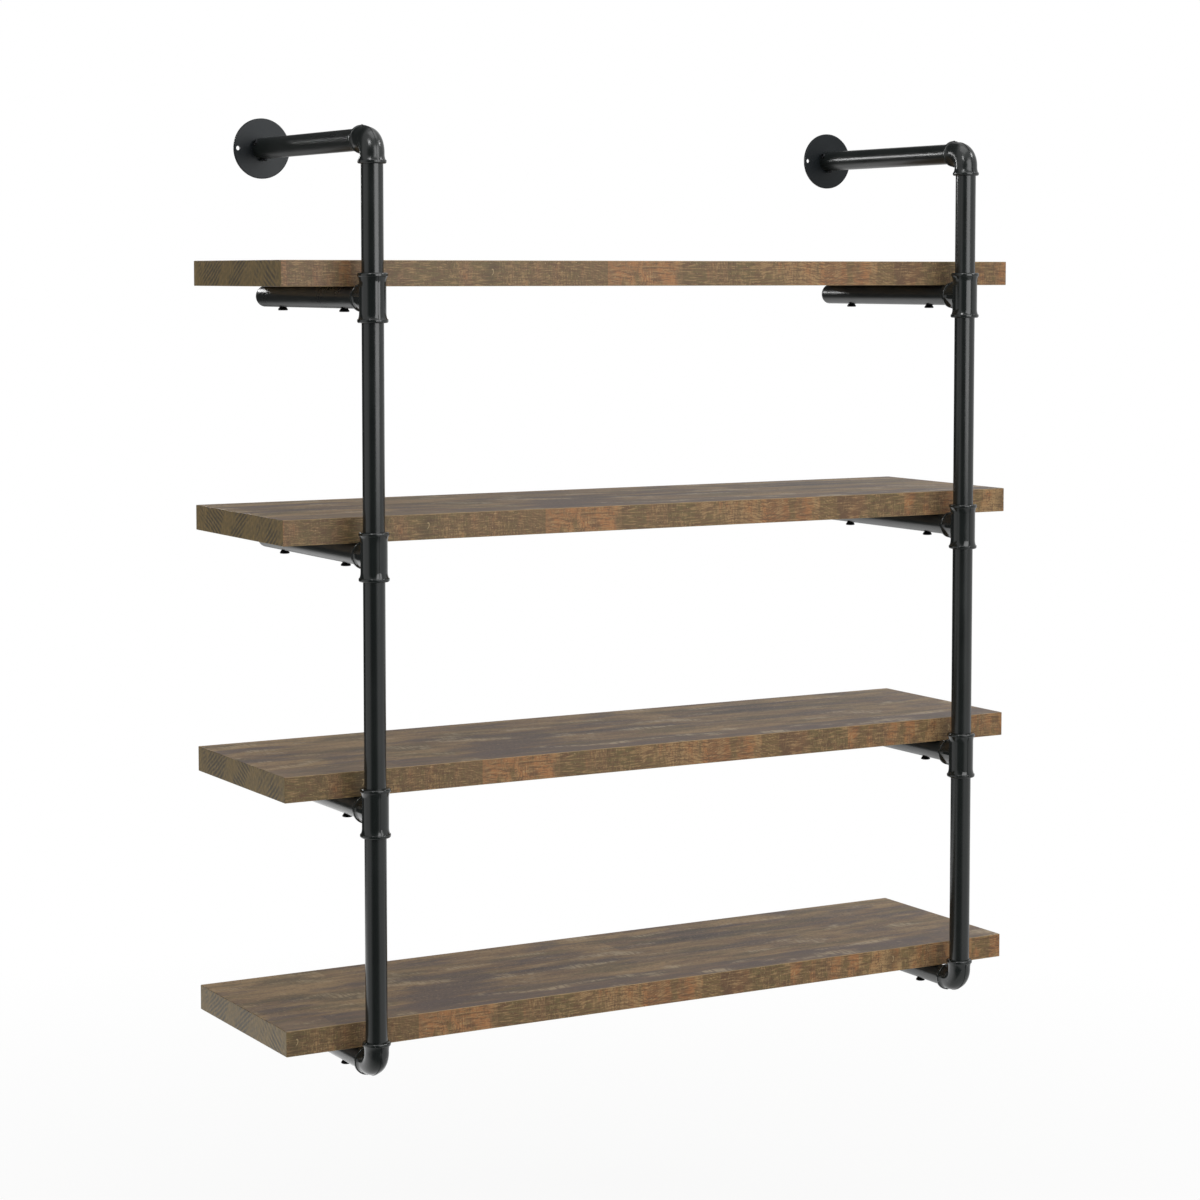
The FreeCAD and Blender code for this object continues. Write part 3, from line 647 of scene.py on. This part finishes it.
@dataclass(frozen=True)
class EndPrint:
    """The print on the ends, where each stave shows slanting growth rings that fade in and out."""

    stave_mm: float = 84.0
    lean_chance: float = 0.45
    ring_mm: float = 5.8
    ring_slope: float = 0.65
    ring_levels: Levels = (-1.1, 0.7)
    wander: Streaks = Streaks(70, 60, 1.0)
    wander_mm: float = 20.0
    clear: Streaks = Streaks(34, 60)
    clear_levels: Levels = (0.45, 0.6)
    ring_contrasts: Levels = (0.06, 0.42)
    clouds: Streaks = Streaks(8, 14, 6.0, 0.75)
    cloud_contrast: float = 0.4
    stave_contrast: float = 0.1
    ground: float = 0.32
    ramp: Ramp = ((0.3, Tone.END_DARK), (0.78, Tone.END_LIGHT))
    inks: tuple[Ink, ...] = (
        Ink(Tone.END_DARK, 1.6, 9, 0.46, 0.7, 0.75),
        Ink(Tone.TAN, 2.4, 7, 0.56, 0.76, 0.5),
    )

    def draw(self, tree: Tree, along: Socket, up: Socket, slide: float) -> tuple[Node, Node]:
        """Draw the print.

        Args:
            tree: The node tree that gets the nodes.
            along: The place from the front edge back, in millimetres.
            up: The height over the board's top face.
            slide: How far this board's staves are slid, in millimetres.

        Returns:
            The colour, and the rings as an emboss from -1 to 0.
        """
        flat = add_node(tree, "CombineXYZ", {"X": along, "Y": up})
        number = add_node(tree, "Math", {0: along, 1: slide}, operation="ADD")
        number = add_node(tree, "Math", {0: number, 1: self.stave_mm}, operation="DIVIDE")
        number = add_node(tree, "Math", {0: number}, operation="FLOOR")
        chance = add_node(tree, "TexWhiteNoise", {"W": number}, noise_dimensions="1D").outputs["Color"]
        chance = add_node(tree, "SeparateColor", {0: chance}).outputs
        lean = add_node(tree, "Math", {0: chance["Red"], 1: self.lean_chance}, operation="SUBTRACT")
        lean = add_node(tree, "Math", {0: lean}, operation="SIGN")
        lean = add_node(tree, "Math", {0: lean, 1: self.ring_slope}, operation="MULTIPLY")
        slant = add_node(tree, "Math", {0: along, 1: lean, 2: up}, operation="MULTIPLY_ADD")
        slant = add_node(tree, "Math", {0: self.wander.draw(tree, flat), 1: self.wander_mm, 2: slant},
                         operation="MULTIPLY_ADD")
        pitch = self.ring_mm * math.hypot(1.0, self.ring_slope)
        slant = add_node(tree, "Math", {0: slant, 1: math.tau / pitch}, operation="MULTIPLY")
        rings = add_node(tree, "Math", {0: slant}, operation="SINE")
        rings = add_node(tree, "MapRange", {"Value": rings, "From Min": self.ring_levels[0],
                                            "From Max": self.ring_levels[1], "To Min": -1.0, "To Max": 0.0})
        clear = add_node(tree, "MapRange", {
            "Value": self.clear.draw(tree, flat), "From Min": self.clear_levels[0],
            "From Max": self.clear_levels[1], "To Min": self.ring_contrasts[0],
            "To Max": self.ring_contrasts[1]})
        tone = add_node(tree, "Math", {0: chance["Green"], 1: self.stave_contrast, 2: self.ground},
                        operation="MULTIPLY_ADD")
        for value, contrast in ((self.clouds.draw(tree, flat), self.cloud_contrast), (rings, clear)):
            tone = add_node(tree, "Math", {0: value, 1: contrast, 2: tone}, operation="MULTIPLY_ADD")
        colour = add_node(tree, "ValToRGB", {0: tone}, stops=self.ramp)
        for ink in self.inks:
            colour = ink.lay(tree, flat, colour)
        return colour, rings


@dataclass(frozen=True)
class RusticOakLaminate:
    """Melamine-faced board printed as reclaimed, saw-marked oak.

    The print gives patchy browns with saw ticks across the grain, and a faint emboss breaks up its satin
    sheen. Each kind of face has a print and a sheen of its own, and the rounded long edges carry a painted
    highlight, a little paler than the rest. slide is in millimetres, and top and front are the board's
    faces in metres.
    """

    slide: float
    top: float
    front: float
    name: str = "rustic_oak_laminate"
    broad_print: BroadPrint = BroadPrint()
    edge_print: EdgePrint = EdgePrint()
    end_print: EndPrint = EndPrint()
    broad_sheen: float = 0.55
    edge_sheen: float = 0.24
    end_sheen: float = 1.0
    groove_roughness: float = 0.58
    ridge_roughness: float = 0.44
    emboss_mm: float = 0.05
    squareness: float = 0.7
    # The painted highlight on the rounded long edges: where it begins and is full, and its share.
    arris_highlight_levels: Levels = (0.995, 0.93)
    arris_highlight_share: float = 0.3
    long_edge_limit: float = 0.2

    def build(self) -> bpy.types.Material:
        """Make the material."""
        material = new_material(self.name)
        tree = material.node_tree
        place = millimetres(tree, (self.slide, -self.front / MM, -self.top / MM))
        axes = add_node(tree, "SeparateXYZ", {0: place}).outputs
        prints = {
            Face.BROAD: self.broad_print.draw(tree, axes["X"], axes["Y"]),
            Face.EDGE: self.edge_print.draw(tree, axes["X"], axes["Z"]),
            Face.END: self.end_print.draw(tree, axes["Y"], axes["Z"], self.slide),
        }
        sheens = {Face.BROAD: self.broad_sheen, Face.EDGE: self.edge_sheen, Face.END: self.end_sheen}
        normal = add_node(tree, "NewGeometry").outputs["True Normal"]
        normal = add_node(tree, "SeparateXYZ", {0: normal}).outputs
        colour, height = prints[Face.BROAD]
        sheen = self.broad_sheen
        flat = 0.0
        # A surface that looks mostly along a face's axis takes that face's print and sheen. Any other takes
        # those of the broad face.
        for face in Face:
            facing = add_node(tree, "Math", {0: normal[face.value]}, operation="ABSOLUTE")
            flat = add_node(tree, "Math", {0: flat, 1: facing}, operation="MAXIMUM")
            chosen = add_node(tree, "Math", {0: facing, 1: self.squareness}, operation="GREATER_THAN")
            colour = add_node(tree, "Mix", {"Factor": chosen, "A": colour, "B": prints[face][0]},
                              data_type="RGBA")
            height = add_node(tree, "Mix", {"Factor": chosen, "A": height, "B": prints[face][1]})
            sheen = add_node(tree, "Mix", {"Factor": chosen, "A": sheen, "B": sheens[face]})
        # The rounded long edges get a painted highlight, a paler tone for the light that they catch.
        colour = self.paint_arris_highlight(tree, colour, flat, normal[Face.END.value])
        gloss = add_node(tree, "MapRange", {"Value": height, "To Min": self.groove_roughness,
                                            "To Max": self.ridge_roughness})
        bump = add_node(tree, "Bump", {"Height": height, "Distance": self.emboss_mm * MM, "Strength": 1.0})
        return finish_surface(material, {"Base Color": colour, "Roughness": gloss, "Normal": bump,
                                         "Specular IOR Level": sheen})

    def paint_arris_highlight(self, tree: Tree, colour: Node, flat: Node, lengthwise: Socket) -> Node:
        """Paint a highlight on the rounded long edges of the board, as a paler, creamier tone.

        Args:
            tree: The node tree that gets the nodes.
            colour: The colour so far.
            flat: How squarely the surface faces along an axis, up to 1.
            lengthwise: How much the surface faces along the board.

        Returns:
            The node that gives the new colour.
        """
        long_edge = add_node(tree, "Math", {0: lengthwise}, operation="ABSOLUTE")
        long_edge = add_node(tree, "Math", {0: long_edge, 1: self.long_edge_limit}, operation="LESS_THAN")
        # Painted highlight: the rounded long edges are mixed towards cream.
        arris_highlight = add_node(tree, "MapRange", {
            "Value": flat, "From Min": self.arris_highlight_levels[0], "From Max": self.arris_highlight_levels[1],
            "To Max": self.arris_highlight_share})
        arris_highlight = add_node(tree, "Math", {0: arris_highlight, 1: long_edge}, operation="MULTIPLY")
        return add_node(tree, "Mix", {"Factor": arris_highlight, "A": colour, "B": linear(Tone.CREAM.value)},
                        data_type="RGBA")


def dress(node: str, material: bpy.types.Material) -> None:
    """Give a CAD node its finish.

    Args:
        node: The node's name.
        material: Its finish.
    """
    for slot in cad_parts[node].material_slots:
        slot.material = material
    LOG.info("dressed %s in %s", node, material.name)


@dataclass
class Boards:
    """The four boards, each cut from the printed sheet a little further along."""

    slide_mm: float = 85.0

    def dress(self) -> None:
        """Dress the boards and the inserts in their undersides."""
        zinc = ZincPlate().build()
        for number in range(1, BOARD_COUNT + 1):
            low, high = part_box(f"shelf_board_{number}")
            oak = RusticOakLaminate(slide=self.slide_mm * number, top=high.z, front=low.y)
            dress(f"shelf_board_{number}", oak.build())
            dress(f"board_inserts_{number}", zinc)


@dataclass
class Finishes:
    """The finishes that both pipe ladders share."""

    tube: bpy.types.Material
    level_tube: bpy.types.Material
    elbow: bpy.types.Material
    casting: bpy.types.Material
    scuffed: bpy.types.Material
    plate: bpy.types.Material
    screw: bpy.types.Material
    plug: bpy.types.Material


@dataclass
class PipeLadder:
    """One side's plate, pipes, fittings, plugs and bolts."""

    side: Side
    finishes: Finishes

    def dress(self) -> None:
        """Dress every node of this side."""
        side, finishes = self.side.value, self.finishes
        dress(f"{side}_wall_flange", finishes.plate)
        dress(f"{side}_flange_screws", finishes.screw)
        dress(f"{side}_wall_pipe", finishes.level_tube)
        dress(f"{side}_top_elbow", finishes.elbow)
        dress(f"{side}_bottom_elbow", finishes.scuffed)
        for number in range(1, BOARD_COUNT + 1):
            dress(f"{side}_upright_{number}", finishes.tube)
            dress(f"{side}_shelf_arm_{number}", finishes.level_tube)
            dress(f"{side}_arm_plug_{number}", finishes.plug)
            dress(f"{side}_shelf_bolts_{number}", finishes.screw)
            if number < BOARD_COUNT:
                dress(f"{side}_tee_{number}", finishes.casting)


@dataclass(frozen=True)
class DarkRoom:
    """A dark part of the studio, which a glossy piece mirrors.

    middle is the direction of its middle from the shelf. The cosine of the angle between that and another
    direction is outer where the room begins, and inner where it has come down to its level.
    """

    middle: Place
    outer: float
    inner: float
    level: float


@dataclass(frozen=True)
class SoftBox:
    """A soft box, with its place and size in metres, and its face's brightness, where 1 is white.

    Unless it has another target, it faces the middle of the shelf's front. One that isn't mirrored only
    lights the shelf, and one that doesn't light it is only mirrored in it.
    """

    name: str
    place: Place
    size: tuple[float, float]
    level: float
    target: Place = (0.0, -0.3, -0.4)
    lights: bool = True
    mirrored: bool = True

    def hang(self) -> None:
        """Hang the box, facing its target."""
        lamp = bpy.data.lights.new(self.name, "AREA")
        lamp.shape = "RECTANGLE"
        lamp.size, lamp.size_y = self.size
        lamp.energy = self.level * math.pi * self.size[0] * self.size[1]
        box = bpy.data.objects.new(self.name, lamp)
        box.location = self.place
        way = Vector(self.target) - Vector(self.place)
        box.rotation_euler = way.to_track_quat("-Z", "Y").to_euler()
        box.visible_camera = False
        box.visible_diffuse = self.lights
        box.visible_glossy = self.mirrored
        bpy.context.scene.collection.objects.link(box)


@dataclass(frozen=True)
class Studio:
    """The pale floor, the soft lights and the camera. Lengths are in metres, and angles in degrees.

    A glossy piece mirrors the backdrop with its dark rooms, and a lit patch of the floor, which is stretched
    along the wall.
    """

    floor_drop: float = 0.45
    floor_size: float = 30.0
    paper: str = "#f4f4f2"
    shadow_reach: Levels = (0.6, 2.2)
    glow_least: float = 0.88
    lit_middle: tuple[float, float] = (-0.9, 1.1)
    lit_stretch: float = 1.25
    lit_reach: Levels = (2.1, 0.9)
    lit_level: float = 1.7
    fill_level: float = 0.6
    backdrop_level: float = 0.85
    dark_rooms: tuple[DarkRoom, ...] = (
        DarkRoom((-0.57, -0.82, 0.0), 0.72, 0.95, 0.09),
        DarkRoom((-0.25, 0.87, 0.42), 0.69, 0.81, 0.07),
    )
    boxes: tuple[SoftBox, ...] = (
        SoftBox("front_box", (0.3, -2.25, 0.2), (1.45, 1.5), 2.0, mirrored=False),
        SoftBox("front_sheen", (0.2, -2.2, 0.2), (1.6, 1.5), 3.6, target=(-0.64, -0.4, -0.4), lights=False),
        SoftBox("glint_left", (-1.5, -1.3, 1.3), (0.5, 0.5), 16.0, lights=False),
        SoftBox("glint_right", (1.7, -1.2, 1.3), (0.5, 0.5), 16.0, lights=False),
        SoftBox("top_box", (0.1, -0.5, 1.7), (1.6, 1.2), 1.7, target=(0.0, -0.15, -0.5)),
        SoftBox("rear_strip", (-0.455, 1.08, 0.13), (0.4, 0.15), 19.0, target=(0.41, -0.15, 0.0),
                lights=False),
    )
    camera_place: Place = (-1.844395, -3.336861, -0.152561)
    camera_azimuth: float = 29.722
    camera_tilt: float = 3.975
    camera_lens_mm: float = 88.671
    camera_shift: float = -0.10

    def build(self) -> None:
        """Set up everything round the shelf."""
        bpy.context.scene.view_settings.view_transform = "Standard"
        self.lay_floor()
        self.light_world()
        for box in self.boxes:
            box.hang()
        self.place_camera()

    def lay_floor(self) -> None:
        """Lay a pale paper floor, which looks white and takes a faint shadow under the shelf."""
        mesh = bpy.data.meshes.new("floor")
        made = bmesh.new()
        bmesh.ops.create_grid(made, x_segments=1, y_segments=1, size=self.floor_size / 2)
        bmesh.ops.translate(made, verts=made.verts, vec=(0, 0, CAD_BOX[0].z - self.floor_drop))
        made.to_mesh(mesh)
        made.free()
        floor = bpy.data.objects.new("floor", mesh)
        bpy.context.scene.collection.objects.link(floor)
        material = new_material("matt_studio_paper")
        tree = material.node_tree
        place = add_node(tree, "TexCoord").outputs["Object"]
        place = add_node(tree, "VectorMath", {0: place, 1: (1, 1, 0)}, operation="MULTIPLY")
        rays = add_node(tree, "LightPath").outputs
        level = add_node(tree, "Mix", {"Factor": rays["Is Glossy Ray"], "A": 1.0,
                                       "B": self.mirrored_floor(tree, place)})
        white = add_node(tree, "Emission", {"Color": WHITE, "Strength": level})
        away = add_node(tree, "VectorMath", {0: place}, operation="LENGTH").outputs["Value"]
        glow = add_node(tree, "MapRange", {"Value": away, "From Min": self.shadow_reach[0],
                                           "From Max": self.shadow_reach[1], "To Min": self.glow_least})
        seen = rays["Is Camera Ray"]
        for ray in ("Is Glossy Ray", "Is Transmission Ray"):
            seen = add_node(tree, "Math", {0: seen, 1: rays[ray]}, operation="MAXIMUM")
        glow = add_node(tree, "Math", {0: seen, 1: glow}, operation="MULTIPLY")
        matt = add_node(tree, "BsdfDiffuse", {"Color": linear(self.paper)})
        mixed = add_node(tree, "MixShader", {0: glow, 1: matt, 2: white})
        add_node(tree, "OutputMaterial", {"Surface": mixed})
        mesh.materials.append(material)

    def mirrored_floor(self, tree: Tree, place: Node) -> Node:
        """How bright the floor looks in a glossy piece: like the studio, with a lit patch behind the shelf.

        Args:
            tree: The node tree that gets the nodes.
            place: The place on the floor, in metres.

        Returns:
            The node that gives the brightness.
        """
        middle_x, middle_y = self.lit_middle
        patch = add_node(tree, "Mapping", {"Vector": place, "Scale": (1 / self.lit_stretch, 1.0, 1.0),
                                           "Location": (-middle_x / self.lit_stretch, -middle_y, 0.0)})
        patch = add_node(tree, "VectorMath", {0: patch}, operation="LENGTH").outputs["Value"]
        patch = add_node(tree, "MapRange", {"Value": patch, "From Min": self.lit_reach[0],
                                            "From Max": self.lit_reach[1], "To Max": self.lit_level},
                         interpolation_type="SMOOTHSTEP")
        way = add_node(tree, "VectorMath", {0: place}, operation="NORMALIZE")
        return add_node(tree, "Math", {0: patch, 1: self.mirrored_level(tree, way)}, operation="MAXIMUM")

    def mirrored_level(self, tree: Tree, way: Node | Socket) -> Node:
        """How bright the studio looks in a glossy piece: the backdrop, with the dark rooms in it.

        Args:
            tree: The node tree that gets the nodes.
            way: The direction from the shelf.

        Returns:
            The node that gives the brightness.
        """
        level = self.backdrop_level
        for room in self.dark_rooms:
            near = add_node(tree, "VectorMath", {0: way, 1: room.middle}, operation="DOT_PRODUCT")
            near = add_node(tree, "MapRange", {"Value": near.outputs["Value"], "From Min": room.outer,
                                               "From Max": room.inner}, interpolation_type="SMOOTHSTEP")
            level = add_node(tree, "Mix", {"Factor": near, "A": level, "B": room.level})
        return level

    def light_world(self) -> None:
        """Fill the studio with even light.

        The camera sees white, and a glossy piece mirrors the backdrop with its dark rooms.
        """
        world = bpy.data.worlds.new("studio")
        world.use_nodes = True
        bpy.context.scene.world = world
        tree = world.node_tree
        tree.nodes.clear()
        rays = add_node(tree, "LightPath").outputs
        way = add_node(tree, "TexCoord").outputs["Generated"]
        level = add_node(tree, "Mix", {"Factor": rays["Is Glossy Ray"], "A": self.fill_level,
                                       "B": self.mirrored_level(tree, way)})
        seen = add_node(tree, "Math", {0: rays["Is Camera Ray"], 1: rays["Is Transmission Ray"]},
                        operation="MAXIMUM")
        level = add_node(tree, "Mix", {"Factor": seen, "A": level, "B": 1.0})
        light = add_node(tree, "Background", {"Color": WHITE, "Strength": level})
        add_node(tree, "OutputWorld", {"Surface": light})

    def place_camera(self) -> None:
        """Put the camera where the photograph was taken from."""
        lens = bpy.data.cameras.new("camera")
        lens.lens = self.camera_lens_mm
        lens.shift_y = self.camera_shift
        camera = bpy.data.objects.new("camera", lens)
        camera.location = self.camera_place
        camera.rotation_euler = (math.radians(90 - self.camera_tilt), 0, -math.radians(self.camera_azimuth))
        bpy.context.scene.collection.objects.link(camera)
        bpy.context.scene.camera = camera


def main() -> None:
    """Give the shelf its finishes and build its studio."""
    logging.basicConfig(level=logging.INFO, format="%(name)s: %(message)s")
    Boards().dress()
    finishes = Finishes(
        tube=BlackCoat("powder_coated_tube").build(),
        level_tube=BlackCoat("powder_coated_level_tube", roughness=0.3).build(),
        elbow=BlackCoat("powder_coated_elbow", roughness=0.25, skin_depth_mm=0.006).build(),
        casting=BlackCoat("powder_coated_casting", roughness=0.13, skin_depth_mm=0.006).build(),
        scuffed=BlackCoat("scuffed_casting", roughness=0.15, skin_depth_mm=0.008, chip_share=0.05).build(),
        plate=BlackCoat("powder_coated_plate", roughness=0.38, mirror_level=0.22, colour="#0e1417",
                        worn="#161c20").build(),
        screw=BlackOxide().build(),
        plug=MouldedPolyethylene().build(),
    )
    for side in Side:
        PipeLadder(side, finishes).dress()
    Studio().build()


if __name__ == "__main__":
    main()
